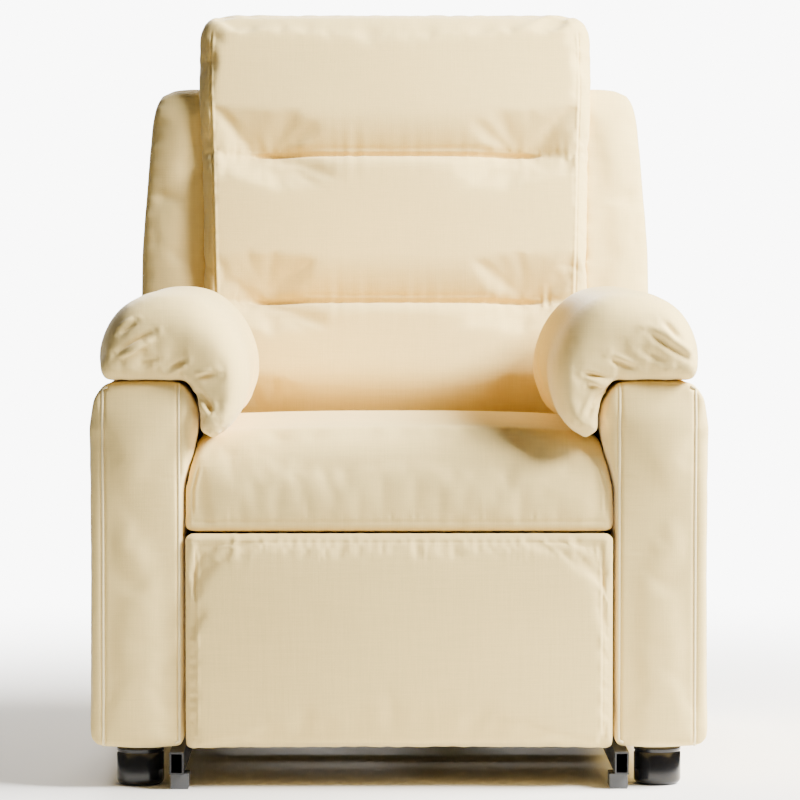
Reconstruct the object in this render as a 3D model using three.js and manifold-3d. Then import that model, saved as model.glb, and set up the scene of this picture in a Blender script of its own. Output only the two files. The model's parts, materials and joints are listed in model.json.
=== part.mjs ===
// Lift recliner chair: three-bolster back with side wings, rolled arm pads, footrest and a steel lift base.
// Millimetres, +Z up. The chair faces -Y. Left (-X) and right (+X) are as seen from the front.
// The origin is at the middle of the chair's outline, on the floor.
import * as THREE from 'three';
import { mergeVertices } from 'three/addons/utils/BufferGeometryUtils.js';
import Module from 'manifold-3d';

const wasm = await Module();
wasm.setup();

// ---- driving dimensions; depths (Y) are measured in the chair's own frame, 30 mm behind the origin ----
const DEPTH_SHIFT = 30;
const ARM = { inner: 274, outer: 390, bulge: 257.5, bottom: 50, top: 519.5, front: -475, rear: 150, tail: 300 };
const PAD = { front: -490, rear: 92, round: 12 };
const SEAT = { half: 271, front: -470, rear: 80, bottom: 330, top: 440, round: 16 };
const FRAME = { outer: 273.5, inner: 248.5, front: -425, back: 190, bottom: 290, top: 322, bar: 25 };
const REAR_RAIL = { front: 60, bottom: 296 };
const EAR = { inner: 261, outer: 267, radius: 20 };
const HINGE = [165, 350];                       // back hinge: Y, Z
const LEAN = THREE.MathUtils.degToRad(14);      // of the back from upright
const BACK = { front: -88.5, seams: [30, 244, 456, 675], coverTop: 650, reach: 430 };
// thickness behind the hinge, so that the top edge of the rear cover reaches BACK.reach
BACK.rear = (BACK.reach - HINGE[0] - BACK.coverTop * Math.sin(LEAN)) / Math.cos(LEAN);
const LEVER = [177, 255];                       // pin that the recline actuator pulls
const RAIL = { inner: 273.3, outer: 291, front: -485, rear: 285, bottom: 19.3, top: 47.5, wall: 2 };
const CROSS = { size: 26, bottom: 20, mid: -150, rear: 215 };
const FOOT = { x: 331, front: -425, rear: 255, radius: 30, height: 49.7 };
const GLIDE = { inner: 267, outer: 290, length: 40, height: 19, front: -478, rear: 240 };

// four-bar lift linkage, pivots as [Y, Z] with the chair down
const LIFT = { baseUpper: [112.3, 170.7], chairUpper: [-204.2, 216.2], baseLower: [248.1, 80.8],
  chairLower: [-159.8, 168], width: 32, pin: 6, tieFromPivot: 70, tie: 12 };
const LIFT_DRIVE = { base: [180, 42], chair: [-188.8, 258], rod: 8, bore: 13.8, tube: 18, mouth: 330,
  inside: 100, motor: 24 };
const RECLINE_DRIVE = { chair: [-185, 250], x: 110, rod: 7, bore: 13.5, tube: 17.5, mouth: 262,
  inside: 140, motor: 22 };
const TIE_TUBE = { at: [-218, 268], radius: 12.5 };

// footrest linkage: two parallelograms, pivots as [Y, Z] with the footrest stowed
const STOW = { chairA: [-307, 258], chairB: [-356, 256], AC: [-242, 87], BC: [-291, 85], BD: [-316, 117],
  boardC: [-385, 222], boardD: [-410, 254], half: 7, pin: 4, clearance: 0.35 };
// planes of the flat steel parts, as X from and to, on the right-hand side
const PLANE = { riser: [262, 266], upper: [256, 260], lower: [250, 254], carrier: [244, 248], A: [238, 242],
  C: [232, 236], B: [226, 230], D: [220, 224], board: [214, 218] };
const FOOTREST = { half: 271, front: -480, back: -430.3, bottom: 50, top: 322 };
const POCKET = { front: -60, rear: 120, bottom: 250, top: 375, face: 407, outer: 412, wall: 5 };
const HANDSET = { front: 2, rear: 58, bottom: 257, top: 430, inner: 391.2, face: 405 };
const BUTTON = { half: [9, 7], high: [414, 392], proud: 1.6, depth: 3 };
const GAP = 0.3;                                // between pieces that touch

// ---- materials ----
const fabric = new THREE.MeshStandardMaterial({ color: '#e6dccb', roughness: 0.9, metalness: 0 });
const liner = new THREE.MeshStandardMaterial({ color: '#2b2b2c', roughness: 0.95, metalness: 0 });
const greySteel = new THREE.MeshStandardMaterial({ color: '#5b5d60', roughness: 0.5, metalness: 0.4 });
const blackSteel = new THREE.MeshStandardMaterial({ color: '#26272a', roughness: 0.5, metalness: 0.4 });
const chrome = new THREE.MeshStandardMaterial({ color: '#c9ccd0', roughness: 0.15, metalness: 1 });
const plastic = new THREE.MeshStandardMaterial({ color: '#1c1d1f', roughness: 0.6, metalness: 0 });
const glossPlastic = new THREE.MeshStandardMaterial({ color: '#0e0e10', roughness: 0.2, metalness: 0 });
const greyPlastic = new THREE.MeshStandardMaterial({ color: '#77797c', roughness: 0.6, metalness: 0 });
const wood = new THREE.MeshStandardMaterial({ color: '#b08a5c', roughness: 0.7, metalness: 0 });

// ---- solids ----
function toSolid(geometry) {
  const bare = geometry.clone();
  bare.deleteAttribute('normal');
  bare.deleteAttribute('uv');
  const merged = mergeVertices(bare, 1e-3);
  const vertProperties = new Float32Array(merged.attributes.position.array);
  const triVerts = new Uint32Array(merged.index.array);
  return new wasm.Manifold(new wasm.Mesh({ numProp: 3, vertProperties, triVerts }));
}

function toGeometry(solid) {
  const mesh = solid.getMesh();
  const geometry = new THREE.BufferGeometry();
  geometry.setAttribute('position', new THREE.BufferAttribute(mesh.vertProperties, 3));
  geometry.setIndex(new THREE.BufferAttribute(mesh.triVerts, 1));
  return geometry;
}

function join(...pieces) {
  return toGeometry(pieces.map(toSolid).reduce((sum, piece) => sum.add(piece)));
}

function cut(body, ...tools) {
  return toGeometry(tools.map(toSolid).reduce((rest, tool) => rest.subtract(tool), toSolid(body)));
}

function overlapOf(a, b) {
  return toGeometry(toSolid(a).intersect(toSolid(b)));
}

// the same solid on the other side of the chair
function mirrored(geometry) {
  const copy = toGeometry(toSolid(geometry)).scale(-1, 1, 1);
  const index = copy.index.array;
  for (let i = 0; i < index.length; i += 3) [index[i], index[i + 1]] = [index[i + 1], index[i]];
  return copy;
}

function box(x, y, z) {
  const size = [x[1] - x[0], y[1] - y[0], z[1] - z[0]];
  return new THREE.BoxGeometry(...size).translate((x[0] + x[1]) / 2, (y[0] + y[1]) / 2, (z[0] + z[1]) / 2);
}

// an outline in the Y-Z plane, carried from x[0] to x[1]; round > 0 rounds both ends
const SIDEWAYS = new THREE.Matrix4().makeBasis(new THREE.Vector3(0, 1, 0), new THREE.Vector3(0, 0, 1),
  new THREE.Vector3(1, 0, 0));
function sideways(shape, x, round = 0) {
  return extruded(shape, x[1] - x[0], round).applyMatrix4(SIDEWAYS).translate(x[0] + round, 0, 0);
}

// an outline in the X-Z plane, carried from y[0] to y[1]
const BACKWARDS = new THREE.Matrix4().makeBasis(new THREE.Vector3(1, 0, 0), new THREE.Vector3(0, 0, 1),
  new THREE.Vector3(0, -1, 0));
function backwards(shape, y, round = 0) {
  return extruded(shape, y[1] - y[0], round).applyMatrix4(BACKWARDS).translate(0, y[1] - round, 0);
}

function extruded(shape, length, round) {
  const bevel = { bevelEnabled: round > 0, bevelSize: round, bevelThickness: round, bevelOffset: -round };
  return new THREE.ExtrudeGeometry(shape, { depth: length - 2 * round, curveSegments: 4, bevelSegments: 2,
    ...bevel });
}

function outline(points) {
  return new THREE.Shape(points.map(([a, b]) => new THREE.Vector2(a, b)));
}

// a rectangle from low to high with its own radius at each corner: low-low, high-low, high-high, low-high
function rounded([a0, b0], [a1, b1], [r0, r1, r2, r3]) {
  const shape = new THREE.Shape();
  shape.absarc(a0 + r0, b0 + r0, r0, Math.PI, 1.5 * Math.PI);
  shape.absarc(a1 - r1, b0 + r1, r1, 1.5 * Math.PI, 2 * Math.PI);
  shape.absarc(a1 - r2, b1 - r2, r2, 0, 0.5 * Math.PI);
  shape.absarc(a0 + r3, b1 - r3, r3, 0.5 * Math.PI, Math.PI);
  return shape;
}

// a straight bar with round ends about two pivots
function capsule(a, b, radius) {
  const angle = Math.atan2(b[1] - a[1], b[0] - a[0]);
  const shape = new THREE.Shape();
  shape.absarc(a[0], a[1], radius, angle + Math.PI / 2, angle + 1.5 * Math.PI);
  shape.absarc(b[0], b[1], radius, angle - Math.PI / 2, angle + Math.PI / 2);
  return shape;
}

function pin([y, z], radius, x, sides = 16) {
  return new THREE.CylinderGeometry(radius, radius, x[1] - x[0], sides).rotateZ(-Math.PI / 2)
    .translate((x[0] + x[1]) / 2, y, z);
}

// a cylinder along Y, for the actuators
function barrel(x, radius, y, sides = 20) {
  return new THREE.CylinderGeometry(radius, radius, y[1] - y[0], sides).translate(x, (y[0] + y[1]) / 2, 0);
}

// flat steel link: bars between its pivots in one plane, with a hole at each hole point
function link(pivots, half, plane, holes, radius) {
  const bars = pivots.slice(1).map((pivot, i) => sideways(capsule(pivots[i], pivot, half), plane));
  const past = [plane[0] - 1, plane[1] + 1];
  return cut(join(...bars), ...holes.map((hole) => pin(hole, radius, past)));
}

// ---- scene graph ----
function add(group, name, geometry, material) {
  const mesh = new THREE.Mesh(geometry, material);
  mesh.name = name;
  group.add(mesh);
}

function addPair(group, name, geometry, material) {
  add(group, `${name}_left`, mirrored(geometry), material);
  add(group, `${name}_right`, geometry, material);
}

function placed(parent, [y, z], turn = 0) {
  const group = new THREE.Group();
  group.position.set(0, y, z);
  group.rotation.x = turn;
  parent.add(group);
  return group;
}

const angleOf = (from, to) => Math.atan2(to[1] - from[1], to[0] - from[0]);

// ---- steel base on the floor ----
function base(group) {
  const tube = new THREE.Shape(outline([[RAIL.inner, RAIL.bottom], [RAIL.outer, RAIL.bottom],
    [RAIL.outer, RAIL.top], [RAIL.inner, RAIL.top]]).getPoints());
  const w = RAIL.wall;
  tube.holes.push(outline([[RAIL.inner + w, RAIL.bottom + w], [RAIL.inner + w, RAIL.top - w],
    [RAIL.outer - w, RAIL.top - w], [RAIL.outer - w, RAIL.bottom + w]]));
  addPair(group, 'base_rail', backwards(tube, [RAIL.front, RAIL.rear]), greySteel);

  const height = [CROSS.bottom, CROSS.bottom + CROSS.size];
  const midEnd = RAIL.inner - GAP;
  const rearEnd = PLANE.riser[0] - GAP;
  add(group, 'mid_cross_tube', box([-midEnd, midEnd], [CROSS.mid, CROSS.mid + CROSS.size], height), greySteel);
  add(group, 'rear_cross_tube', box([-rearEnd, rearEnd], [CROSS.rear, CROSS.rear + CROSS.size], height),
    greySteel);

  for (const [end, y] of [['front', GLIDE.front], ['rear', GLIDE.rear]]) {
    const block = rounded([GLIDE.inner, 0], [GLIDE.outer, GLIDE.height], [2, 2, 1, 1]);
    addPair(group, `glide_${end}`, backwards(block, [y, y + GLIDE.length]), greyPlastic);
  }

  // riser plate: carries both lift pivots and is bolted to the rail through its foot
  const [A0, B0] = [LIFT.baseUpper, LIFT.baseLower];
  const plate = outline([[60, CROSS.bottom], [275, CROSS.bottom], [275, 84], [262, 102], [130, 186], [112, 191],
    [94, 186], [86, 170]]);
  const foot = box([PLANE.riser[1] - 1, RAIL.inner - GAP], [70, 270], [CROSS.bottom, RAIL.top - 1.5]);
  addPair(group, 'riser', join(sideways(plate, PLANE.riser), foot,
    pin(A0, LIFT.pin, [PLANE.upper[0], PLANE.riser[0] + 1]),
    pin(B0, LIFT.pin, [PLANE.lower[0], PLANE.riser[0] + 1])), greySteel);

  const D = LIFT_DRIVE.base;
  const clevis = [];
  for (const x of [[-13, -9], [9, 13]]) {
    clevis.push(sideways(capsule(D, [CROSS.rear - 14, D[1] - 6], 12), x));
  }
  add(group, 'lift_motor_bracket', join(...clevis, pin(D, 5, [-13, 13]),
    box([-20, 20], [CROSS.rear - 8, CROSS.rear - GAP], [22, 50])), greySteel);
}

// ---- lift links ----
function liftLinks(group) {
  const half = LIFT.width / 2;
  const { baseUpper, chairUpper, baseLower, chairLower } = LIFT;
  const upper = link([baseUpper, chairUpper], half, PLANE.upper, [baseUpper, chairUpper], LIFT.pin + 0.5);
  addPair(group, 'upper_lift_link', upper, greySteel);
  // the chair end of the lower link has a wide hole, because the linkage is opened there
  const lower = link([baseLower, chairLower], half, PLANE.lower, [baseLower], LIFT.pin + 0.5);
  const hole = pin(chairLower, LIFT.pin + 1.4, [PLANE.lower[0] - 1, PLANE.lower[1] + 1]);
  addPair(group, 'lower_lift_link', cut(lower, hole), greySteel);

  const length = Math.hypot(chairLower[0] - baseLower[0], chairLower[1] - baseLower[1]);
  const along = baseLower.map((value, i) => value + (chairLower[i] - value) * LIFT.tieFromPivot / length);
  const end = PLANE.lower[0] - GAP;
  add(group, 'lift_tie_tube', pin(along, LIFT.tie, [-end, end]), greySteel);
}

// ---- actuators: each is a lug, gearbox and motor, a tube with a blind bore, and a rod with an eye ----
function actuator(group, name, drive, from, to, x) {
  const turn = angleOf(from, to);
  const length = Math.hypot(to[0] - from[0], to[1] - from[1]);
  const gearbox = [16, 58];
  const side = x + drive.tube + drive.motor + 4;

  const driven = placed(group, from, turn);
  const lug = join(pin([0, 0], 11, [x - 8, x + 8]), box([x - 8, x + 8], [0, gearbox[0] + 1], [-9, 9]));
  const casing = box([x - 21, side + drive.motor - 4], gearbox, [-23, 23]);
  const motor = barrel(side, drive.motor, [gearbox[1] - 1, gearbox[1] + 105], 24);
  add(driven, `${name}_motor`, cut(join(lug, casing, motor), pin([0, 0], 5.5, [x - 9, x + 9])), plastic);
  const tube = cut(barrel(x, drive.tube, [gearbox[1] + GAP, drive.mouth], 24),
    barrel(x, drive.bore, [gearbox[1] + 6, drive.mouth + 1], 24));
  add(driven, `${name}_actuator_tube`, tube, blackSteel);

  const pushed = placed(group, to, turn + Math.PI);
  const rod = join(pin([0, 0], 11, [x - 8, x + 8]), barrel(x, drive.rod, [4, length - drive.inside]));
  add(pushed, `${name}_actuator_rod`, cut(rod, pin([0, 0], 5.5, [x - 9, x + 9])), chrome);
}

// ---- chassis under the seat ----
function chassis(group) {
  const [A, B] = [LIFT.chairUpper, LIFT.chairLower];
  const plate = outline([[-374, 318], [-374, 248], [-364, 242], [-300, 240], [-228, 206], [-180, 152], [-162, 148],
    [-144, 156], [-140, 178], [-110, 250], [40, 288], [40, 318]]);
  const solid = join(sideways(plate, PLANE.carrier),
    pin(A, LIFT.pin, [PLANE.carrier[1] - 1, PLANE.upper[1]]),
    pin(B, LIFT.pin, [PLANE.carrier[1] - 1, PLANE.lower[1]]),
    pin(STOW.chairA, STOW.pin, [PLANE.A[0], PLANE.carrier[0] + 1]),
    pin(STOW.chairB, STOW.pin, [PLANE.B[0], PLANE.carrier[0] + 1]));
  addPair(group, 'carrier_plate', solid, greySteel);

  // tube between the carrier plates, with a clevis for each actuator
  const end = PLANE.carrier[0] - GAP;
  const tie = [pin(TIE_TUBE.at, TIE_TUBE.radius, [-end, end], 24)];
  for (const [x, to] of [[0, LIFT_DRIVE.chair], [RECLINE_DRIVE.x, RECLINE_DRIVE.chair]]) {
    for (const ear of [[-13, -9], [9, 13]]) {
      tie.push(sideways(capsule(TIE_TUBE.at, to, 11), [x + ear[0], x + ear[1]]));
    }
    tie.push(pin(to, 5, [x - 13, x + 13]));
  }
  add(group, 'carrier_tie_tube', join(...tie), greySteel);

  const [o, i, f] = [FRAME.outer, FRAME.inner, FRAME.front];
  const ring = [box([-o, o], [f, f + FRAME.bar], [FRAME.bottom, FRAME.top]),
    box([-i - 1, i + 1], [REAR_RAIL.front, REAR_RAIL.front + FRAME.bar], [REAR_RAIL.bottom, FRAME.top])];
  const ear = cut(sideways(capsule([HINGE[0], FRAME.top - 10], HINGE, EAR.radius), [EAR.inner, EAR.outer]),
    pin(HINGE, 7.5, [EAR.inner - 1, EAR.outer + 1]));
  for (const [, s] of SIDES) {
    ring.push(box(s > 0 ? [i, o] : [-o, -i], [f, FRAME.back], [FRAME.bottom, FRAME.top]));
    ring.push(s > 0 ? ear : mirrored(ear));
  }
  add(group, 'seat_frame', join(...ring), blackSteel);
  add(group, 'seat_springs', springs(), greySteel);

  const under = REAR_RAIL.bottom - GAP;
  add(group, 'control_box', backwards(rounded([-165, 256], [-65, under], [4, 4, 1, 1]), [18, 84]), plastic);
  add(group, 'rear_valance', backwards(rounded([-270, 55], [270, 288], [4, 4, 4, 4]), [290, 298]), liner);
}

// five sinuous wires across the seat frame, tied together by two cross wires
function springs() {
  const [wire, z] = [2.4, FRAME.top + 2.4 + GAP];
  const section = new THREE.Shape(new THREE.EllipseCurve(0, 0, wire, wire).getPoints(5).slice(0, 5));
  const [start, end, waves, swing] = [FRAME.front + 12, REAR_RAIL.front + 12, 7, 24];
  const parts = [];
  for (let n = -2; n <= 2; n += 1) {
    const points = [];
    for (let k = 0; k <= waves * 4; k += 1) {
      const t = k / (waves * 4);
      points.push(new THREE.Vector3(n * 96 + swing * Math.sin(t * waves * 2 * Math.PI),
        start + t * (end - start), z));
    }
    const path = new THREE.CatmullRomCurve3(points);
    parts.push(new THREE.ExtrudeGeometry(section, { steps: waves * 4, extrudePath: path }));
  }
  for (const y of [-290, -60]) parts.push(pin([y, z], wire * 0.8, [-200, 200], 6));
  return join(...parts);
}

// ---- upholstery that moves with the seat ----
function upholstery(group) {
  // seat: its side outline trimmed to a front outline that leaves room for the arms' bulges
  const seat = rounded([SEAT.front, SEAT.bottom], [SEAT.rear, SEAT.top], [18, 18, 18, 46]);
  const edge = [[SEAT.half, 320], [SEAT.half, 380], [SEAT.half - 6, 402], [SEAT.half - 11, 426],
    [SEAT.half - 15, 450]];
  const face = outline([...edge, ...edge.map(([x, z]) => [-x, z]).reverse()]);
  const cushion = overlapOf(sideways(seat, [-SEAT.half, SEAT.half], SEAT.round),
    backwards(face, [SEAT.front - 1, SEAT.rear + 1]));
  add(group, 'seat_cushion', cushion, fabric);

  // arm: its front section swept back, trimmed to its side outline
  const { inner, outer, bulge, bottom, top, front, rear, tail } = ARM;
  const section = outline([[inner, bottom], [outer - 10, bottom], [outer, bottom + 10], [outer, 462], [384, 500],
    [373, 515], [366, top], [281, top], [270, 514], [bulge + 1.5, 498], [bulge, 476], [bulge + 1.5, 452],
    [bulge + 6, 428], [inner - 5, 404], [inner, 384]]);
  const side = outline([[front, bottom], [tail, bottom], [tail, 300], [rear, 340], [rear, top + 1],
    [front, top + 1]]);
  const arm = overlapOf(backwards(section, [front, tail]), sideways(side, [bulge - 5, outer + 5]));
  addPair(group, 'arm', arm, fabric);
  addPair(group, 'arm_pad', backwards(padSection(), [PAD.front, PAD.rear], PAD.round), fabric);

  const pocketY = [POCKET.front, POCKET.rear];
  const w = POCKET.wall;
  const pocket = cut(box([outer + GAP, POCKET.outer], pocketY, [POCKET.bottom, POCKET.top]),
    box([outer, POCKET.face], [pocketY[0] + w, pocketY[1] - w], [POCKET.bottom + w, POCKET.top + 1]));
  addPair(group, 'side_pocket', pocket, fabric);
}

// the pad is a roll over the top of the arm that hangs down its inner side
function padSection() {
  const shape = new THREE.Shape();
  shape.moveTo(372, 521);
  shape.splineThru([[381, 545], [372, 582], [347, 612], [300, 625], [252, 618], [214, 582], [196, 532],
    [200, 484], [214, 455], [236, 444]].map(([x, z]) => new THREE.Vector2(x, z)));
  shape.lineTo(252, 454);
  shape.lineTo(254, 494);
  shape.lineTo(266, 514);
  shape.lineTo(280, 521);
  return shape;
}

function feet(group) {
  const profile = [[0, 0], [22, 0], [27, 3], [FOOT.radius, 10], [FOOT.radius, 44], [26, FOOT.height],
    [0, FOOT.height]].map(([r, z]) => new THREE.Vector2(r, z));
  for (const [end, y] of [['front', FOOT.front], ['rear', FOOT.rear]]) {
    const foot = new THREE.LatheGeometry(profile, 20).rotateX(Math.PI / 2).translate(FOOT.x, y, 0);
    addPair(group, `foot_${end}`, foot, glossPlastic);
  }
}

// ---- back: modelled upright about its hinge, then leaned ----
function back(parent) {
  const group = placed(parent, HINGE, -LEAN);
  const { front, rear, seams, coverTop } = BACK;
  const widths = [[247, 263], [265, 276], [281, 283]];
  const names = ['lumbar_cushion', 'middle_cushion', 'head_cushion'];
  names.forEach((name, i) => {
    const [low, high] = [seams[i] + 1, seams[i + 1] - 1];
    const [w0, w1] = widths[i];
    const crown = i === 2 ? 40 : 16;
    const shape = new THREE.Shape();
    shape.absarc(-w0 + 16, low + 16, 16, Math.PI, 1.5 * Math.PI);
    shape.absarc(w0 - 16, low + 16, 16, 1.5 * Math.PI, 2 * Math.PI);
    shape.absarc(w1 - crown, high - crown, crown, 0, Math.PI / 2);
    shape.absarc(-w1 + crown, high - crown, crown, Math.PI / 2, Math.PI);
    add(group, name, backwards(shape, [front, 10], 14), fabric);
  });

  // wing: its side outline trimmed to its front outline
  const side = outline([[-5, 50], [-46, 180], [-62, 220], [-68, 260], [-68, 530], [-60, 556], [-40, 570],
    [70, 572], [rear - 12, 550], [rear - 12, 104]]);
  const face = outline([[269, 45], [269, 300], [287, 480], [287, 545], [294, 572], [326, 572], [340, 556],
    [346, 520], [358, 330], [358, 45]]);
  addPair(group, 'wing', overlapOf(sideways(side, [260, 360]), backwards(face, [-70, rear - 11])), fabric);

  const cover = outline([[-258, -30], [258, -30], [258, 112], [342, 112], [342, 520], [330, 552], [272, 570],
    [268, 632], [250, coverTop], [-250, coverTop], [-268, 632], [-272, 570], [-330, 552], [-342, 520], [-342, 112],
    [-258, 112]]);
  add(group, 'rear_cover', backwards(cover, [rear - 11, rear]), fabric);
  add(group, 'back_frame', backFrame(), blackSteel);
}

function backFrame() {
  const post = [PLANE.upper[0] - 4, PLANE.upper[0] + 2];
  const parts = [];
  const upright = join(sideways(rounded([14, 20], [54, 626], [4, 4, 4, 4]), post),
    sideways(capsule([0, 0], [34, 40], 16), post), pin([0, 0], 7, [post[1] - 1, EAR.outer]));
  for (const [, s] of SIDES) parts.push(s > 0 ? upright : mirrored(upright));
  for (const v of [34, 330, 600]) parts.push(box([-post[0] - 1, post[0] + 1], [20, 50], [v, v + 26]));

  // lever plates and pin for the recline actuator, in the leaned frame
  const [y, z] = [LEVER[0] - HINGE[0], LEVER[1] - HINGE[1]];
  const tip = [y * Math.cos(LEAN) - z * Math.sin(LEAN), y * Math.sin(LEAN) + z * Math.cos(LEAN)];
  for (const x of [[-14, -10], [10, 14]]) {
    parts.push(sideways(capsule(tip, [35, 46], 13), x.map((value) => value + RECLINE_DRIVE.x)));
  }
  parts.push(pin(tip, 5, [RECLINE_DRIVE.x - 14, RECLINE_DRIVE.x + 14]));
  return join(...parts);
}

// ---- footrest ----
function footrest(group) {
  const { chairA, chairB, AC, BC, BD, boardC, boardD, half, clearance } = STOW;
  const hole = STOW.pin + clearance;
  const stud = (at, from, to) => pin(at, STOW.pin, [from, to]);
  const A = join(link([chairA, AC], half, PLANE.A, [chairA], hole), stud(AC, PLANE.C[0], PLANE.A[0] + 1));
  const B = join(link([chairB, BD, BC], half, PLANE.B, [chairB], hole), stud(BD, PLANE.D[0], PLANE.B[0] + 1),
    stud(BC, PLANE.B[1] - 1, PLANE.C[1]));
  const C = link([AC, BC, boardC], half, PLANE.C, [AC, BC, boardC], hole);
  const D = link([BD, boardD], half, PLANE.D, [BD, boardD], hole);
  Object.entries({ A, B, C, D }).forEach(([letter, geometry]) => {
    addPair(group, `footrest_link_${letter.toLowerCase()}`, geometry, greySteel);
  });

  // board: plywood panel, with a steel bracket each side of the links
  const face = FOOTREST.back + GAP;
  const parts = [box([-246, 246], [face, face + 12], [62, 282])];
  const inner = join(sideways(capsule(boardD, [face + 9, 250], 8), PLANE.board),
    stud(boardD, PLANE.board[1] - 1, PLANE.D[1]));
  const outer = join(sideways(capsule(boardC, [face + 9, 216], 8), PLANE.A),
    stud(boardC, PLANE.C[0], PLANE.A[0] + 1));
  for (const bracket of [inner, outer]) parts.push(bracket, mirrored(bracket));
  add(group, 'footrest_board', join(...parts), wood);

  const { half: w, front, back: rear, bottom, top } = FOOTREST;
  const pad = rounded([front, bottom], [rear, top], [16, 12, 12, 16]);
  add(group, 'footrest_pad', sideways(pad, [-w, w], 11), fabric);
}

// ---- handset in the right-hand pocket ----
function handset(group) {
  const shell = sideways(rounded([HANDSET.front, HANDSET.bottom], [HANDSET.rear, HANDSET.top], [10, 10, 10, 10]),
    [HANDSET.inner, HANDSET.face]);
  const middle = (HANDSET.front + HANDSET.rear) / 2;
  const [w, h] = BUTTON.half;
  const well = BUTTON.high.map((z) => sideways(rounded([middle - w - GAP, z - h - GAP],
    [middle + w + GAP, z + h + GAP], [4, 4, 4, 4]), [HANDSET.face - BUTTON.depth - 2, HANDSET.face + 1]));
  add(group, 'handset_shell', cut(shell, ...well), plastic);
  const names = ['up_button', 'down_button'];
  names.forEach((name, i) => {
    const z = BUTTON.high[i];
    const key = sideways(rounded([middle - w, z - h], [middle + w, z + h], [3.7, 3.7, 3.7, 3.7]),
      [HANDSET.face - BUTTON.depth, HANDSET.face + BUTTON.proud]);
    add(group, name, key, greyPlastic);
  });
}

const SIDES = [['left', -1], ['right', 1]];
const liftRecliner = new THREE.Group();
liftRecliner.position.y = DEPTH_SHIFT;
base(liftRecliner);
liftLinks(liftRecliner);
actuator(liftRecliner, 'lift', LIFT_DRIVE, LIFT_DRIVE.base, LIFT_DRIVE.chair, 0);
chassis(liftRecliner);
upholstery(liftRecliner);
feet(liftRecliner);
back(liftRecliner);
actuator(liftRecliner, 'recline', RECLINE_DRIVE, RECLINE_DRIVE.chair, LEVER, RECLINE_DRIVE.x);
footrest(liftRecliner);
handset(liftRecliner);

export default liftRecliner;
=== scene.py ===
import json
import math

import bmesh
import bpy
import numpy as np
from bpy.props import FloatProperty, FloatVectorProperty, IntProperty, PointerProperty, StringProperty
from mathutils import Matrix, Vector


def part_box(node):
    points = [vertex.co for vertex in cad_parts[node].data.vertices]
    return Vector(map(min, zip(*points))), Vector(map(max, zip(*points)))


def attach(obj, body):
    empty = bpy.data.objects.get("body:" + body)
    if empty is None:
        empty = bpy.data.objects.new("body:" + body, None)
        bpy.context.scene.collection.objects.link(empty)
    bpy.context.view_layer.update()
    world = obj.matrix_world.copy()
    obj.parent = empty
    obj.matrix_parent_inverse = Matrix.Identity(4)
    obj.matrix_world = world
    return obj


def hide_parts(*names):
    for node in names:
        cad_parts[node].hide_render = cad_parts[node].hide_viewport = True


bl_info = {
    "name": "Lift recliner chair",
    "version": (1, 0, 0),
    "blender": (4, 5, 0),
    "location": "View3D > Sidebar > Chair",
    "description": "Upholsters a lift recliner chair around its steel frame",
    "category": "Object",
}

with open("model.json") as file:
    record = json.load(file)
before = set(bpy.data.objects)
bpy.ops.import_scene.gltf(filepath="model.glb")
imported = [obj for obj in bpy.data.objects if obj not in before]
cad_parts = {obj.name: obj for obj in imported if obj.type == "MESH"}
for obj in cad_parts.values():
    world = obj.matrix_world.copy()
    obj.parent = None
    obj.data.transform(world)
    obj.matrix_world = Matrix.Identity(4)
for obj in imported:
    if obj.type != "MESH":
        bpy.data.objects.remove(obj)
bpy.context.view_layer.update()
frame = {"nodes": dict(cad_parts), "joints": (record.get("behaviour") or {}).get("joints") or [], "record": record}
MM = 0.001

# ---------------------------------------------------------------- places taken from the frame
def low(node):
    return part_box(node)[0]


def high(node):
    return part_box(node)[1]


def joint_at(name):
    return Vector(next(j["pos_m"] for j in frame["joints"] if j["name"] == name))

HINGE = joint_at("recline")
LEAN = math.radians(14)
ACROSS = Vector((1, 0, 0))
REARWARD = Vector((0, math.cos(LEAN), -math.sin(LEAN)))
UPWARD = Vector((0, math.sin(LEAN), math.cos(LEAN)))
INWARD = Vector((0, 1, 0))
SIDES = (("left", -1), ("right", 1))


def leaned(x, u, v):
    """A point of the back: x across, u rearward and v up from the recline hinge, in metres."""
    return Vector((0, HINGE.y, HINGE.z)) + ACROSS * x + REARWARD * u + UPWARD * v

# ---------------------------------------------------------------- settings
class ChairUpholstery(bpy.types.PropertyGroup):
    cover: StringProperty(name="Cover", description="sRGB hex colour of the woven cover", default="#ECD085")
    # the piping colour is the cover's cream made lighter and less saturated: a painted highlight along the raised
    # cords
    piping: StringProperty(name="Piping", description="sRGB hex colour of the corded edges",
                           default="#F3E0A8")
    thread_mm: FloatProperty(name="Thread", description="Spacing of the threads, in mm, as drawn",
                             default=1.6)
    cord: FloatProperty(name="Piping radius", description="Radius of the corded edges", default=1.9 * MM,
                        unit="LENGTH")
    grid: FloatProperty(name="Grid", description="Mesh size of the padded pieces", default=6 * MM,
                        unit="LENGTH")
    pressure: FloatProperty(name="Fill", description="Pressure of the filling", default=4.0)
    frames: IntProperty(name="Frames", description="Length of each cloth simulation", default=20)


class ChairHardware(bpy.types.PropertyGroup):
    grey_paint: StringProperty(name="Grey paint", description="sRGB hex of the base and links",
                               default="#28292B")
    black_paint: StringProperty(name="Black paint", description="sRGB hex of the frames", default="#232427")
    shell: StringProperty(name="Shell", description="sRGB hex of the moulded housings", default="#1B1C1E")
    foot: StringProperty(name="Foot", description="sRGB hex of the glossy feet", default="#101012")
    glide: StringProperty(name="Glide", description="sRGB hex of the nylon glides", default="#4A4B4D")
    key: StringProperty(name="Key", description="sRGB hex of the handset keys", default="#8A8C8F")
    edge: FloatProperty(name="Edge", description="Rounding of the steel edges", default=0.6 * MM,
                        unit="LENGTH")


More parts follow.
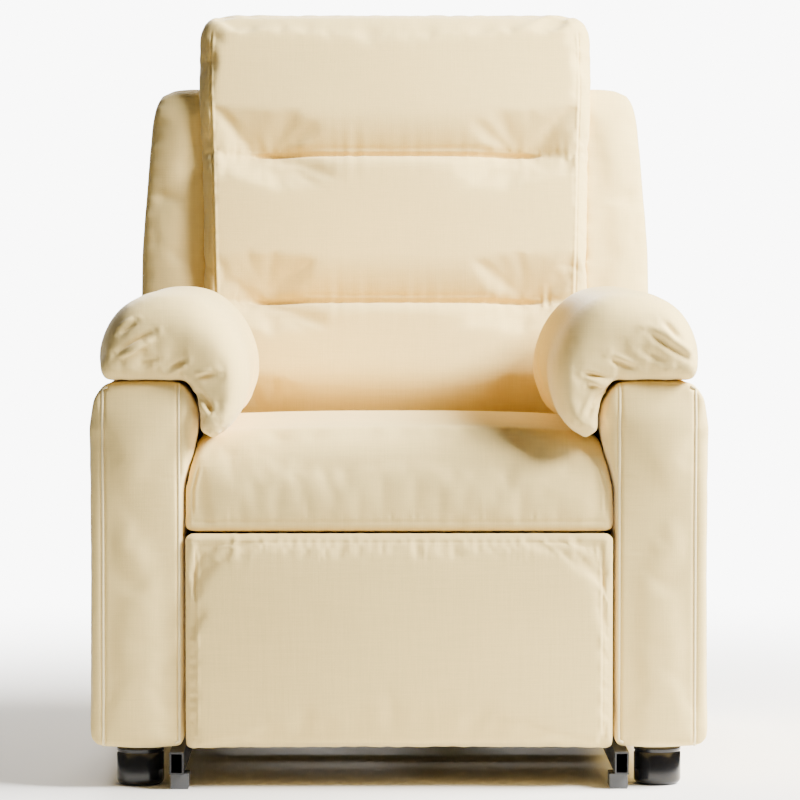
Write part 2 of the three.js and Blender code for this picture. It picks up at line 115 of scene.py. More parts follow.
class ChairStage(bpy.types.PropertyGroup):
    camera: FloatVectorProperty(name="Camera", description="Camera position", subtype="TRANSLATION",
                                default=(-0.042, -5.445, 0.711))
    down: FloatProperty(name="Down", description="Angle below the horizon", default=math.radians(2.487),
                        subtype="ANGLE")
    aside: FloatProperty(name="Aside", description="Turn towards +X", default=math.radians(0.492),
                         subtype="ANGLE")
    lens: FloatProperty(name="Lens", description="Focal length in mm", default=178.2)
    daylight: FloatProperty(name="Daylight", description="Strength of the even light", default=0.1)
    key: FloatProperty(name="Key", description="Power of the main lights in W", default=890)
    surround: FloatProperty(name="Surround", description="Brightness of what is seen round the chair",
                            default=9.0)
    reach: FloatProperty(name="Reach", description="Radius of the floor", default=2.4, unit="LENGTH")
    rear: FloatProperty(name="Rear", description="Power of the light behind the chair in W", default=240)
    floor: StringProperty(name="Floor", description="sRGB hex of the floor", default="#F4F2EE")

# ---------------------------------------------------------------- materials
def linear(hex_colour):
    values = [int(hex_colour[i:i + 2], 16) / 255 for i in (1, 3, 5)]
    return tuple(v / 12.92 if v <= 0.04045 else ((v + 0.055) / 1.055) ** 2.4 for v in values) + (1.0,)


def shaded(hex_colour, factor):
    return tuple(c * factor for c in linear(hex_colour)[:3]) + (1.0,)


def add_node(tree, kind, inputs=None, **settings):
    """Adds one node, sets its properties, and fills or links its inputs."""
    item = tree.nodes.new(kind)
    for key, value in settings.items():
        setattr(item, key, value)
    for key, value in (inputs or {}).items():
        if isinstance(value, bpy.types.NodeSocket):
            tree.links.new(value, item.inputs[key])
        else:
            item.inputs[key].default_value = value
    return item


def new_material(name, **surface):
    """A material whose Principled shader has the given socket values; returns it with its tree and shader."""
    material = bpy.data.materials.new(name)
    material.use_nodes = True
    tree = material.node_tree
    shader = tree.nodes["Principled BSDF"]
    for key, value in surface.items():
        shader.inputs[key.replace("_", " ")].default_value = value
    return material, tree, shader


def place(tree):
    return add_node(tree, "ShaderNodeTexCoord").outputs["Object"]


def ramp(tree, value, dark, light, low_stop=0.0, high_stop=1.0):
    item = add_node(tree, "ShaderNodeValToRGB", {"Fac": value})
    item.color_ramp.elements[0].position = low_stop
    item.color_ramp.elements[0].color = dark
    item.color_ramp.elements[1].position = high_stop
    item.color_ramp.elements[1].color = light
    return item.outputs["Color"]


def math_node(tree, operation, *values):
    return add_node(tree, "ShaderNodeMath", dict(enumerate(values)), operation=operation).outputs[0]


def woven_cover(name, hex_colour, thread_mm):
    """Polyester woven in a plain weave with slubby threads, which gives the eye a soft matt face with faint
    lines both ways. The threads are drawn about twice as coarse as they are, so that they show."""
    material, tree, shader = new_material(name, Roughness=0.88, IOR=1.45, Sheen_Weight=0.25,
                                          Sheen_Roughness=0.45)
    spot = add_node(tree, "ShaderNodeSeparateXYZ", {0: place(tree)})
    surface = add_node(tree, "ShaderNodeNewGeometry")
    facing = add_node(tree, "ShaderNodeSeparateXYZ", {0: surface.outputs["Normal"]})
    turn = 2 * math.pi / (thread_mm * MM)
    waves = [math_node(tree, "SINE", math_node(tree, "MULTIPLY", spot.outputs[i], turn)) for i in range(3)]
    weave = None
    for i in range(3):
        plane = math_node(tree, "MULTIPLY", waves[(i + 1) % 3], waves[(i + 2) % 3])
        share = math_node(tree, "POWER", math_node(tree, "ABSOLUTE", facing.outputs[i]), 2.0)
        part = math_node(tree, "MULTIPLY", plane, share)
        weave = part if weave is None else math_node(tree, "ADD", weave, part)

    # slubs: threads that swell for a few centimetres, along and across
    slubs = None
    for stretch in ((25, 25, 900), (900, 25, 25)):
        grid = add_node(tree, "ShaderNodeMapping", {"Vector": place(tree), "Scale": stretch})
        noise = add_node(tree, "ShaderNodeTexNoise", {"Vector": grid.outputs[0], "Scale": 1.0, "Detail": 2.0})
        slubs = noise.outputs[0] if slubs is None else math_node(tree, "ADD", slubs, noise.outputs[0])
    shade = add_node(tree, "ShaderNodeTexNoise", {"Vector": place(tree), "Scale": 5.0, "Detail": 3.0})
    mix = math_node(tree, "ADD", math_node(tree, "MULTIPLY", slubs, 0.4), math_node(tree, "MULTIPLY",
                                                                                  shade.outputs[0], 0.35))
    colour = ramp(tree, mix, shaded(hex_colour, 0.93), shaded(hex_colour, 1.05), 0.42, 0.72)
    tree.links.new(colour, shader.inputs["Base Color"])
    height = math_node(tree, "ADD", math_node(tree, "MULTIPLY", weave, 0.5), slubs)
    bump = add_node(tree, "ShaderNodeBump", {"Height": height, "Strength": 0.28, "Distance": 0.0005})
    tree.links.new(bump.outputs[0], shader.inputs["Normal"])
    return material


def painted_steel(name, hex_colour, roughness):
    """Steel under baked powder paint: an even colour with fine orange peel, a little worn and brighter at
    its edges."""
    material, tree, shader = new_material(name, Metallic=0.15, Roughness=roughness)
    peel = add_node(tree, "ShaderNodeTexNoise", {"Vector": place(tree), "Scale": 900.0, "Detail": 2.0})
    worn = add_node(tree, "ShaderNodeTexNoise", {"Vector": place(tree), "Scale": 18.0, "Detail": 5.0})
    edge = add_node(tree, "ShaderNodeNewGeometry").outputs["Pointiness"]
    amount = math_node(tree, "MULTIPLY", worn.outputs[0], edge)
    colour = ramp(tree, amount, shaded(hex_colour, 0.9), shaded(hex_colour, 1.35), 0.2, 0.42)
    tree.links.new(colour, shader.inputs["Base Color"])
    bump = add_node(tree, "ShaderNodeBump", {"Height": peel.outputs[0], "Strength": 0.15, "Distance": 0.0004})
    tree.links.new(bump.outputs[0], shader.inputs["Normal"])
    return material


def bright_steel(name, hex_colour, roughness):
    """Steel with a bright plating, ground round, so it has faint scratches that run across the light."""
    material, tree, shader = new_material(name, Metallic=1.0, Roughness=roughness)
    lines = add_node(tree, "ShaderNodeMapping", {"Vector": place(tree), "Scale": (40, 1600, 1600)})
    noise = add_node(tree, "ShaderNodeTexNoise", {"Vector": lines.outputs[0], "Scale": 1.0, "Detail": 2.0})
    tree.links.new(ramp(tree, noise.outputs[0], shaded(hex_colour, 0.8), linear(hex_colour), 0.3, 0.7),
                   shader.inputs["Base Color"])
    bump = add_node(tree, "ShaderNodeBump", {"Height": noise.outputs[0], "Strength": 0.1, "Distance": 0.0002})
    tree.links.new(bump.outputs[0], shader.inputs["Normal"])
    return material


def moulded_plastic(name, hex_colour, roughness, grain_mm, depth):
    """Plastic moulded in a spark-eroded tool, whose fine grain breaks up the gloss."""
    material, tree, shader = new_material(name, Roughness=roughness, IOR=1.5)
    grain = add_node(tree, "ShaderNodeTexNoise", {"Vector": place(tree), "Scale": 1000 / grain_mm / 2,
                                                  "Detail": 3.0})
    dust = add_node(tree, "ShaderNodeTexNoise", {"Vector": place(tree), "Scale": 30.0, "Detail": 4.0})
    tree.links.new(ramp(tree, dust.outputs[0], linear(hex_colour), shaded(hex_colour, 1.5), 0.4, 0.8),
                   shader.inputs["Base Color"])
    rough = add_node(tree, "ShaderNodeMapRange", {0: dust.outputs[0], 3: roughness * 0.85,
                                                  4: roughness * 1.2})
    tree.links.new(rough.outputs[0], shader.inputs["Roughness"])
    bump = add_node(tree, "ShaderNodeBump", {"Height": grain.outputs[0], "Strength": depth,
                                             "Distance": 0.0003})
    tree.links.new(bump.outputs[0], shader.inputs["Normal"])
    return material


def birch_ply(name):
    """Birch plywood, sanded: pale, with long soft grain along the board."""
    material, tree, shader = new_material(name, Roughness=0.6)
    long = add_node(tree, "ShaderNodeMapping", {"Vector": place(tree), "Scale": (6, 120, 60)})
    grain = add_node(tree, "ShaderNodeTexNoise", {"Vector": long.outputs[0], "Scale": 1.0, "Detail": 6.0})
    tree.links.new(ramp(tree, grain.outputs[0], linear("#A9834F"), linear("#D2B27F"), 0.35, 0.65),
                   shader.inputs["Base Color"])
    return material


def lining(name):
    """Black spunbonded lining: thin and matt, with an embossed grid of small points."""
    material, tree, shader = new_material(name, Roughness=0.95)
    points = add_node(tree, "ShaderNodeTexVoronoi", {"Vector": place(tree), "Scale": 350.0})
    tree.links.new(ramp(tree, points.outputs["Distance"], linear("#1B1B1C"), linear("#333335"), 0.1, 0.7),
                   shader.inputs["Base Color"])
    bump = add_node(tree, "ShaderNodeBump", {"Height": points.outputs["Distance"], "Strength": 0.4,
                                             "Distance": 0.0005})
    tree.links.new(bump.outputs[0], shader.inputs["Normal"])
    return material


def paper_floor(name, hex_colour, reach):
    """Studio paper: matt and pale, and lost in the white surround before its edge."""
    material, tree, shader = new_material(name, Roughness=0.9)
    tone = add_node(tree, "ShaderNodeTexNoise", {"Vector": place(tree), "Scale": 2.0})
    tree.links.new(ramp(tree, tone.outputs[0], shaded(hex_colour, 0.99), linear(hex_colour)),
                   shader.inputs["Base Color"])
    away = add_node(tree, "ShaderNodeVectorMath", {0: place(tree)}, operation="LENGTH")
    faded = add_node(tree, "ShaderNodeMapRange", {"Value": away.outputs["Value"], "From Min": 0.25 * reach,
                                                  "From Max": 0.95 * reach, "To Min": 1.0, "To Max": 0.0},
                     interpolation_type="SMOOTHSTEP")
    tree.links.new(faded.outputs[0], shader.inputs["Alpha"])
    return material

MATERIALS = {}


def make_materials(scene):
    soft, hard = scene.chair_upholstery, scene.chair_hardware
    MATERIALS.update({
        "cover": woven_cover("cream_woven_polyester", soft.cover, soft.thread_mm),
        # the piping is the cover's weave in a lighter colour, which paints a highlight along the cords
        "piping": woven_cover("cream_piping_cord_painted_highlight", soft.piping, soft.thread_mm),
        "grey_steel": painted_steel("grey_powder_coated_steel", hard.grey_paint, 0.42),
        "black_steel": painted_steel("black_powder_coated_steel", hard.black_paint, 0.5),
        "rod": bright_steel("chromed_rod", "#D4D7DA", 0.12),
        "zinc": bright_steel("zinc_plated_rivet", "#B9BBB8", 0.32),
        "shell": moulded_plastic("black_moulded_abs", hard.shell, 0.55, 0.6, 0.25),
        "foot": moulded_plastic("black_gloss_polypropylene", hard.foot, 0.22, 1.5, 0.04),
        "glide": moulded_plastic("grey_nylon", hard.glide, 0.5, 0.8, 0.15),
        "key": moulded_plastic("grey_rubber_key", hard.key, 0.7, 0.5, 0.2),
        "ply": birch_ply("birch_plywood"),
        "lining": lining("black_spunbond_lining"),
        "floor": paper_floor("studio_paper", scene.chair_stage.floor, scene.chair_stage.reach),
    })

SLOT_MATERIALS = {"grey_steel": "grey_steel", "black_steel": "black_steel", "chrome_rod": "rod",
                  "black_plastic": "shell", "gloss_black_plastic": "foot", "grey_plastic": "glide",
                  "plywood": "ply", "dark_liner": "lining", "cream_fabric": "cover"}

# ---------------------------------------------------------------- mesh work
def new_object(name, verts, faces):
    mesh = bpy.data.meshes.new(name)
    mesh.from_pydata([tuple(v) for v in verts], [], faces)
    mesh.update()
    obj = bpy.data.objects.new(name, mesh)
    bpy.context.scene.collection.objects.link(obj)
    return obj


def ring_faces(rows, count):
    """Faces of a closed skin over rows of count points, with both ends closed."""
    faces = [(i * count + k, i * count + (k + 1) % count, (i + 1) * count + (k + 1) % count,
              (i + 1) * count + k) for i in range(rows - 1) for k in range(count)]
    return faces + [tuple(reversed(range(count))), tuple(range((rows - 1) * count, rows * count))]


def copy_of(node, name):
    obj = bpy.data.objects.new(name, frame["nodes"][node].data.copy())
    obj.data.materials.clear()
    bpy.context.scene.collection.objects.link(obj)
    return obj


def settled(obj):
    """Applies the object's modifiers to its mesh."""
    graph = bpy.context.evaluated_depsgraph_get()
    mesh = bpy.data.meshes.new_from_object(obj.evaluated_get(graph))
    obj.modifiers.clear()
    old = obj.data
    obj.data = mesh
    bpy.data.meshes.remove(old)
    return obj


def remeshed(obj, size):
    grid = obj.modifiers.new("grid", "REMESH")
    grid.mode = "VOXEL"
    grid.voxel_size = size
    return settled(obj)


def relaxed(obj, times):
    smooth = obj.modifiers.new("relax", "SMOOTH")
    smooth.iterations = times
    smooth.factor = 0.5
    return settled(obj)


def smooth_step(value):
    value = np.clip(value, 0, 1)
    return value * value * (3 - 2 * value)


def points_of(obj):
    co = np.empty(len(obj.data.vertices) * 3, np.float64)
    obj.data.vertices.foreach_get("co", co)
    return co.reshape(-1, 3)


def normals_of(obj):
    values = np.empty(len(obj.data.vertices) * 3, np.float64)
    obj.data.vertices.foreach_get("normal", values)
    return values.reshape(-1, 3)


def set_points(obj, points):
    obj.data.vertices.foreach_set("co", points.astype(np.float32).ravel())
    obj.data.update()


def shaded_smooth(obj):
    obj.data.polygons.foreach_set("use_smooth", [True] * len(obj.data.polygons))
    obj.data.update()
    return obj


def finer(obj):
    sub = obj.modifiers.new("fine", "SUBSURF")
    sub.levels = 1
    sub.render_levels = 1
    return shaded_smooth(settled(obj))


def inflated(obj, cap, pinned=None, shrink=0.0):
    """Fills the piece as cloth over foam: pressure from inside, pinned where it is held, moved by cap at
    most."""
    soft = bpy.context.scene.chair_upholstery
    start = points_of(obj)
    cloth = obj.modifiers.new("cloth", "CLOTH")
    rules = cloth.settings
    rules.quality = 4
    rules.mass = 0.2
    rules.tension_stiffness = 12
    rules.compression_stiffness = 12
    rules.shear_stiffness = 5
    rules.bending_stiffness = 0.4
    rules.use_pressure = True
    rules.uniform_pressure_force = soft.pressure
    rules.shrink_min = shrink
    rules.effector_weights.gravity = 0
    cloth.collision_settings.use_collision = False
    cloth.point_cache.frame_start = 1
    cloth.point_cache.frame_end = soft.frames
    if pinned is not None:
        group = obj.vertex_groups.new(name="held")
        for index in np.flatnonzero(pinned > 0.01):
            group.add([int(index)], float(pinned[index]), "REPLACE")
        rules.vertex_group_mass = "held"
    scene = bpy.context.scene
    for step in range(1, soft.frames + 1):
        scene.frame_set(step)
    settled(obj)
    scene.frame_set(1)
    moved = points_of(obj) - start
    length = np.linalg.norm(moved, axis=1, keepdims=True)
    moved *= np.minimum(1, cap / np.maximum(length, 1e-9))
    set_points(obj, start + moved)
    return obj


def refined(obj, paths, reach):
    """Splits the faces near the paths, so that a seam there can be narrow and sharp."""
    work = bmesh.new()
    work.from_mesh(obj.data)
    points = np.array([v.co[:] for v in work.verts])
    near = np.full(len(points), np.inf)
    for path in paths:
        near = np.minimum(near, nearest_on(points, path)[0])
    work.verts.ensure_lookup_table()
    edges = [e for e in work.edges if min(near[e.verts[0].index], near[e.verts[1].index]) < reach]
    bmesh.ops.subdivide_edges(work, edges=edges, cuts=1, smooth=0.6, use_grid_fill=True)
    work.to_mesh(obj.data)
    work.free()
    obj.data.update()
    return obj


def nearest_on(points, path):
    """Distance from each point to the path, and how far along the path the nearest place is."""
    path = np.array(path, float)
    best = np.full(len(points), np.inf)
    along = np.zeros(len(points))
    run = 0.0
    for a, b in zip(path[:-1], path[1:]):
        step = b - a
        length = np.linalg.norm(step)
        t = np.clip((points - a) @ step / length ** 2, 0, 1)
        gap = np.linalg.norm(points - a - t[:, None] * step, axis=1)
        closer = gap < best
        best[closer] = gap[closer]
        along[closer] = run + t[closer] * length
        run += length
    return best, along, run


def wander(s, spacing, seed):
    """A smooth random wave between -1 and 1 along s, with a turn about every spacing."""
    rng = np.random.default_rng(seed)
    total = np.zeros_like(s)
    for k in range(4):
        rate = (0.6 + 0.35 * k + 0.2 * rng.random()) / spacing
        total += math.cos(0.4 * k) * np.sin(2 * math.pi * (s * rate + rng.random()))
    return total / 2.6


def seamed(obj, path, depth, width, gathers=0.0, spacing=0.016, reach=0.03, seed=1, fade=0.0):
    """Draws the cover down along a seam, with small gathers that die away from it."""
    points, normals = points_of(obj), normals_of(obj)
    gap, along, length = nearest_on(points, path)
    hold = np.ones(len(points))
    if fade:
        hold = smooth_step(np.minimum(along, length - along) / fade)
    drop = -depth * np.exp(-(gap / width) ** 2)
    if gathers:
        swell = 0.55 + 0.45 * wander(along, spacing * 6, seed + 7)
        drop = drop + gathers * wander(along, spacing, seed) * swell * np.exp(-(gap / reach) ** 2)
    set_points(obj, points + normals * (drop * hold)[:, None])
    return obj


def welted(obj, path, height, width, seed=1):
    """A lapped seam: a sharp furrow with a raised row of cover beside it, puckered by its stitches."""
    points, normals = points_of(obj), normals_of(obj)
    gap, along, length = nearest_on(points, path)
    side = np.sign(np.abs(points[:, 0]) - np.interp(along, np.linspace(0, length, len(path)),
                                                    np.abs(np.array(path)[:, 0])))
    offset = gap * np.where(side == 0, 1, side)
    furrow = -1.5 * height * np.exp(-(offset / (0.6 * width)) ** 2)
    ridge = height * np.exp(-((offset + 1.9 * width) / width) ** 2)
    pucker = 1 + 0.25 * wander(along, 0.02, seed)
    ends = smooth_step(np.minimum(along, length - along) / 0.02)
    set_points(obj, points + normals * ((furrow + ridge) * pucker * ends)[:, None])
    return obj


def creased(obj, start, end, depth, width, lean=1):
    """One fold of the cover from start to end: a furrow, with a ridge that stands up on one side of it."""
    points, normals = points_of(obj), normals_of(obj)
    start, end = np.array(start), np.array(end)
    ahead = (end - start) / np.linalg.norm(end - start)
    gap, along, length = nearest_on(points, [start, (start + end) / 2, end])
    side = np.einsum("ij,ij->i", points - start, np.cross(normals, ahead)) * lean
    taper = np.sin(np.clip(along / length, 0.03, 0.97) * math.pi) ** 0.7
    ridge = np.where(side > 0, 0.75, 0.15) * np.exp(-((gap - 1.7 * width) / width) ** 2)
    drop = depth * (ridge - np.exp(-(gap / width) ** 2)) * taper
    set_points(obj, points + normals * drop[:, None])
    return obj


def tucked(obj, path, away, size, spacing, seed, ahead=(0, 1, 0)):
    """Short tucks that run away from a seam, as far apart as spacing, none of them alike."""
    rng = np.random.default_rng(seed)
    path = [np.array(p) for p in path]
    length = sum(np.linalg.norm(b - a) for a, b in zip(path[:-1], path[1:]))
    for _ in range(int(length / spacing)):
        spot = path[rng.integers(2, len(path) - 2)] + (rng.random(3) - 0.5) * 4 * MM
        reach = (0.4 + rng.random()) * 26 * MM
        start, end = cast_on(obj, [spot + np.array(away) * 2 * MM, spot + np.array(away) * reach], ahead)
        creased(obj, start, end, size * (0.4 + 0.8 * rng.random()), 2.4 * MM, lean=rng.choice((-1, 1)))
    return obj


def tube(name, path, radius, sides=10):
    """A closed round cord along a path."""
    path = [Vector(p) for p in path]
    verts = []
    lift = None
    for i, spot in enumerate(path):
        ahead = (path[min(i + 1, len(path) - 1)] - path[max(i - 1, 0)]).normalized()
        if lift is None:
            lift = ahead.orthogonal().normalized()
        lift = (lift - ahead * lift.dot(ahead)).normalized()
        side = ahead.cross(lift)
        for k in range(sides):
            angle = 2 * math.pi * k / sides
            verts.append(spot + (lift * math.cos(angle) + side * math.sin(angle)) * radius)
    return shaded_smooth(new_object(name, verts, ring_faces(len(path), sides)))


def smooth_path(points, count):
    """A rounded path of count points through the given ones."""
    points = [np.array(p, float) for p in points]
    padded = [2 * points[0] - points[1]] + points + [2 * points[-1] - points[-2]]
    path = []
    for t in np.linspace(0, len(points) - 1, count):
        k = min(int(t), len(points) - 2)
        f = t - k
        p0, p1, p2, p3 = padded[k:k + 4]
        path.append(0.5 * (2 * p1 + (p2 - p0) * f + (2 * p0 - 5 * p1 + 4 * p2 - p3) * f ** 2
                           + (3 * p1 - p0 - 3 * p2 + p3) * f ** 3))
    return path


def rounded_in(distance, radius):
    """How far a rounded edge draws in at this distance from the end."""
    if distance >= radius:
        return 0.0
    return radius - math.sqrt(max(radius ** 2 - (radius - distance) ** 2, 0))


def rounded_outline(corners, radii, spacing=6 * MM):
    """A closed outline with its own radius at each corner, as evenly spaced points."""
    corners = [np.array(corner, float) for corner in corners]
    outline = []
    for n, (corner, radius) in enumerate(zip(corners, radii)):
        before, after = corners[n - 1] - corner, corners[(n + 1) % len(corners)] - corner
        before, after = before / np.linalg.norm(before), after / np.linalg.norm(after)
        half = math.acos(before @ after) / 2
        start, end = corner + before * radius / math.tan(half), corner + after * radius / math.tan(half)
        centre = corner + (before + after) / np.linalg.norm(before + after) * radius / math.sin(half)
        sweep = math.pi - 2 * half
        for t in np.linspace(0, 1, 9):
            turn = (start - centre) * math.sin((1 - t) * sweep) + (end - centre) * math.sin(t * sweep)
            outline.append(centre + turn / math.sin(sweep))
    outline = np.array(outline + outline[:1])
    run = np.concatenate(([0], np.cumsum(np.linalg.norm(np.diff(outline, axis=0), axis=1))))
    even = np.linspace(0, run[-1], int(run[-1] / spacing), endpoint=False)
    return np.stack([np.interp(even, run, outline[:, i]) for i in (0, 1)], 1)


def pillow(name, outline, half_at, edge, swell):
    """A padded block: a side outline swept across, rounded at its ends and swelled outwards by a function."""
    ahead = np.roll(outline, -1, 0) - np.roll(outline, 1, 0)
    outward = np.stack([ahead[:, 1], -ahead[:, 0]], 1) / np.linalg.norm(ahead, axis=1)[:, None]
    y, z = outline.T
    if np.sum(y * np.roll(z, -1) - z * np.roll(y, -1)) < 0:
        outward = -outward
    count = len(outline)
    shares = np.sin(np.linspace(-math.pi / 2, math.pi / 2, 61))
    verts = []
    for share in shares:
        for spot, normal in zip(outline, outward):
            half = half_at(spot[1])
            grown = spot + normal * (swell(share, *spot, *normal) - rounded_in((1 - abs(share)) * half, edge))
            verts.append((share * half, *grown))
    faces = [(i * count + k, (i + 1) * count + k, (i + 1) * count + (k + 1) % count,
              i * count + (k + 1) % count) for i in range(len(shares) - 1) for k in range(count)]
    faces.append(tuple(range(count)))
    faces.append(tuple(reversed(range((len(shares) - 1) * count, len(shares) * count))))
    obj = new_object(name, verts, faces)
    work = bmesh.new()
    work.from_mesh(obj.data)
    bmesh.ops.recalc_face_normals(work, faces=work.faces[:])
    work.to_mesh(obj.data)
    work.free()
    return obj


def laid_on(obj, path):
    """Moves a path onto the nearest surface of a piece."""
    return [obj.closest_point_on_mesh(Vector(spot))[1] for spot in path]


def cast_on(obj, path, ahead, sink=0.0):
    """Moves a path onto a piece along one direction, from outside it; a point that misses goes to the
    nearest place."""
    ahead = Vector(ahead)
    landed = []
    for spot in path:
        spot = Vector(spot)
        hit, struck, normal, _ = obj.ray_cast(spot - ahead * 0.15, ahead, distance=0.4)
        if not hit:
            _, struck, normal, _ = obj.closest_point_on_mesh(spot)
        landed.append(struck - normal * sink)
    return landed


def mirrored(obj, name):
    """The same piece on the other side of the chair."""
    mesh = obj.data.copy()
    mesh.transform(Matrix.Scale(-1, 4, ACROSS))
    mesh.flip_normals()
    twin = bpy.data.objects.new(name, mesh)
    bpy.context.scene.collection.objects.link(twin)
    return twin


def dressed(obj, material, body, nodes=()):
    """Gives a finished piece its material and body, and hides the nodes that it stands for."""
    obj.data.materials.clear()
    obj.data.materials.append(MATERIALS[material])
    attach(obj, body)
    if nodes:
        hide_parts(*nodes)
    return obj

# ---------------------------------------------------------------- back
BACK_FRONT, BACK_REAR = -74 * MM, 9 * MM
BACK_LOW, BACK_HIGH = 31 * MM, 681 * MM
CHANNELS = (248 * MM, 463 * MM)
LUMBAR_FOOT = 92 * MM
CHANNEL_HALF = 206 * MM
CHANNEL_DEPTH, CHANNEL_FADE = 26 * MM, 75 * MM
# how far up a bolster's foot rolls under, and how far down its head comes forward
FOOT_ROLL, HEAD_ROLL = 70 * MM, 22 * MM
# half width of the cover at heights above the hinge, in mm, at its front and beside the wings
FRONT_HALF = ((31, 244), (165, 253), (215, 268), (245, 274), (457, 280), (560, 284), (681, 282))
REAR_HALF = ((31, 244), (165, 253), (215, 264), (560, 266), (592, 282), (681, 280))
CROWN_RADIUS = 42 * MM


def width_at(table, v):
    return float(np.interp(v / MM, *zip(*table))) * MM


def back_front(x, v):
    """Depth of the front face: three bolsters that roll under at two channels, which fade near the sides."""
    stops = (LUMBAR_FOOT,) + CHANNELS + (BACK_HIGH + 0.02,)
    bulge = 0.0
    for a, b in zip(stops[:-1], stops[1:]):
        if a <= v <= b:
            under, over = (v - a) / FOOT_ROLL, (b - v) / HEAD_ROLL
            # the foot of a bolster rolls under slowly and its head comes forward at once
            low_side = 1 - (1 - np.clip(under, 0, 1)) ** 2.4
            high_side = 1 - (1 - np.clip(over, 0, 1)) ** 3
            bulge = low_side * high_side
    fade = smooth_step((CHANNEL_HALF + 0.062 - abs(x)) / CHANNEL_FADE) if v > 0.15 else 1.0
    depth = CHANNEL_DEPTH + 14 * MM * smooth_step((0.16 - v) / 0.06)
    drawn = depth * (1 - bulge) * (0.16 + 0.84 * fade)
    crown = 10 * MM * (1 - (x / width_at(FRONT_HALF, v)) ** 2)
    return BACK_FRONT - crown + drawn


def back_ring(v, steps=30):
    """One level of the back cushion, all the way round."""
    ends = rounded_in(BACK_HIGH - v, CROWN_RADIUS) + rounded_in(v - BACK_LOW, 16 * MM)
    half, waist = width_at(FRONT_HALF, v) - ends, width_at(REAR_HALF, v) - ends
    edge = rounded_in(BACK_HIGH - v, 30 * MM) + rounded_in(v - BACK_LOW, 20 * MM)
    side = 22 * MM
    across = [(half - side) * (k / steps - 1) for k in range(2 * steps + 1)]
    ring = [(x, back_front(x, v) + edge) for x in across]
    depth = BACK_REAR - edge * 0.5
    front = back_front(half, v) + edge
    for k in range(1, 8):
        angle = math.pi / 2 * k / 7
        ring.append((half - side + side * math.sin(angle), front + side * (1 - math.cos(angle))))
    for k in range(1, 7):
        t = smooth_step(k / 3)
        ring.append((half + (waist - half) * t, front + side + (depth - 8 * MM - front - side) * k / 6))
    ring.append((waist - 10 * MM, depth))
    rear = [(waist - 10 * MM - (2 * waist - 20 * MM) * k / 12, depth) for k in range(1, 12)]
    left = [(-x, u) for x, u in reversed(ring[2 * steps + 1:])]
    return ring + rear + left


def channel_line(v, half, count):
    return [leaned(x, back_front(x, v), v) for x in np.linspace(-half, half, count)]


class CHAIR_OT_back(bpy.types.Operator):
    """Makes the back cushion: one cover over three bolsters with two sewn channels."""

    bl_idname = "chair.back"
    bl_label = "Back cushion"

    def execute(self, context):
        grid = context.scene.chair_upholstery.grid
        levels = np.linspace(BACK_LOW + 0.5 * MM, BACK_HIGH - 0.5 * MM, 130)
        rings = [back_ring(v) for v in levels]
        verts = [leaned(x, u, v) for v, ring in zip(levels, rings) for x, u in ring]
        skin = new_object("back_cushion", verts, ring_faces(len(levels), len(rings[0])))
        obj = remeshed(skin, grid * 0.85)
        rest = points_of(obj)
        u = (rest - np.array(leaned(0, 0, 0))) @ np.array(REARWARD)
        held = np.clip((u + 0.045) / 0.02, 0, 1)
        for v in CHANNELS:
            gap = nearest_on(rest, channel_line(v, CHANNEL_HALF, 40))[0]
            held = np.maximum(held, (gap < 6 * MM).astype(float))
        inflated(obj, 8 * MM, held, shrink=-0.02)
        relaxed(obj, 3)

        gussets = []
        for side in (-1, 1):
            rise = np.linspace(BACK_LOW + 0.03, BACK_HIGH - 0.032, 70)
            line = []
            for v in rise:
                half = width_at(FRONT_HALF, v)
                x = half - 18 * MM - rounded_in(BACK_HIGH - v, CROWN_RADIUS)
                line.append(leaned(side * x, back_front(half, v) - 2 * MM, v))
            gussets.append(cast_on(obj, line, REARWARD))
        channels = [cast_on(obj, channel_line(v, CHANNEL_HALF + 0.008, 70), REARWARD) for v in CHANNELS]
        for n, (path, v) in enumerate(zip(channels, CHANNELS)):
            seamed(obj, path, 3 * MM, 7 * MM, gathers=1.0 * MM, spacing=0.024, reach=0.034, seed=3 + n,
                   fade=0.05)
            for side in (-1, 1):
                ends = [leaned(side * x, back_front(x, v), v) for x in np.linspace(0.190, 0.262, 14)]
                seamed(obj, cast_on(obj, ends, REARWARD), 1.2 * MM, 5 * MM, gathers=2.4 * MM, spacing=0.011,
                       reach=0.018, seed=11 + n + side, fade=0.02)
        refined(obj, channels + gussets, 9 * MM)
        finer(obj)
        for path in channels:
            seamed(obj, cast_on(obj, path, REARWARD), 9 * MM, 2.6 * MM, fade=0.03)
        for path in gussets:
            welted(obj, cast_on(obj, path, REARWARD), 1.0 * MM, 2.0 * MM, seed=21)
        dressed(obj, "cover", "back",
                ("lumbar_cushion", "middle_cushion", "head_cushion"))
        return {"FINISHED"}

# the wing's inner and outer faces across, in mm, at heights above the hinge, and where its inner face is
# padded to
WING_INNER = ((45, 269), (300, 269), (480, 287), (545, 287), (572, 294))
WING_OUTER = ((45, 358), (330, 358), (520, 346), (556, 340), (572, 326))
WING_FACE = 268 * MM


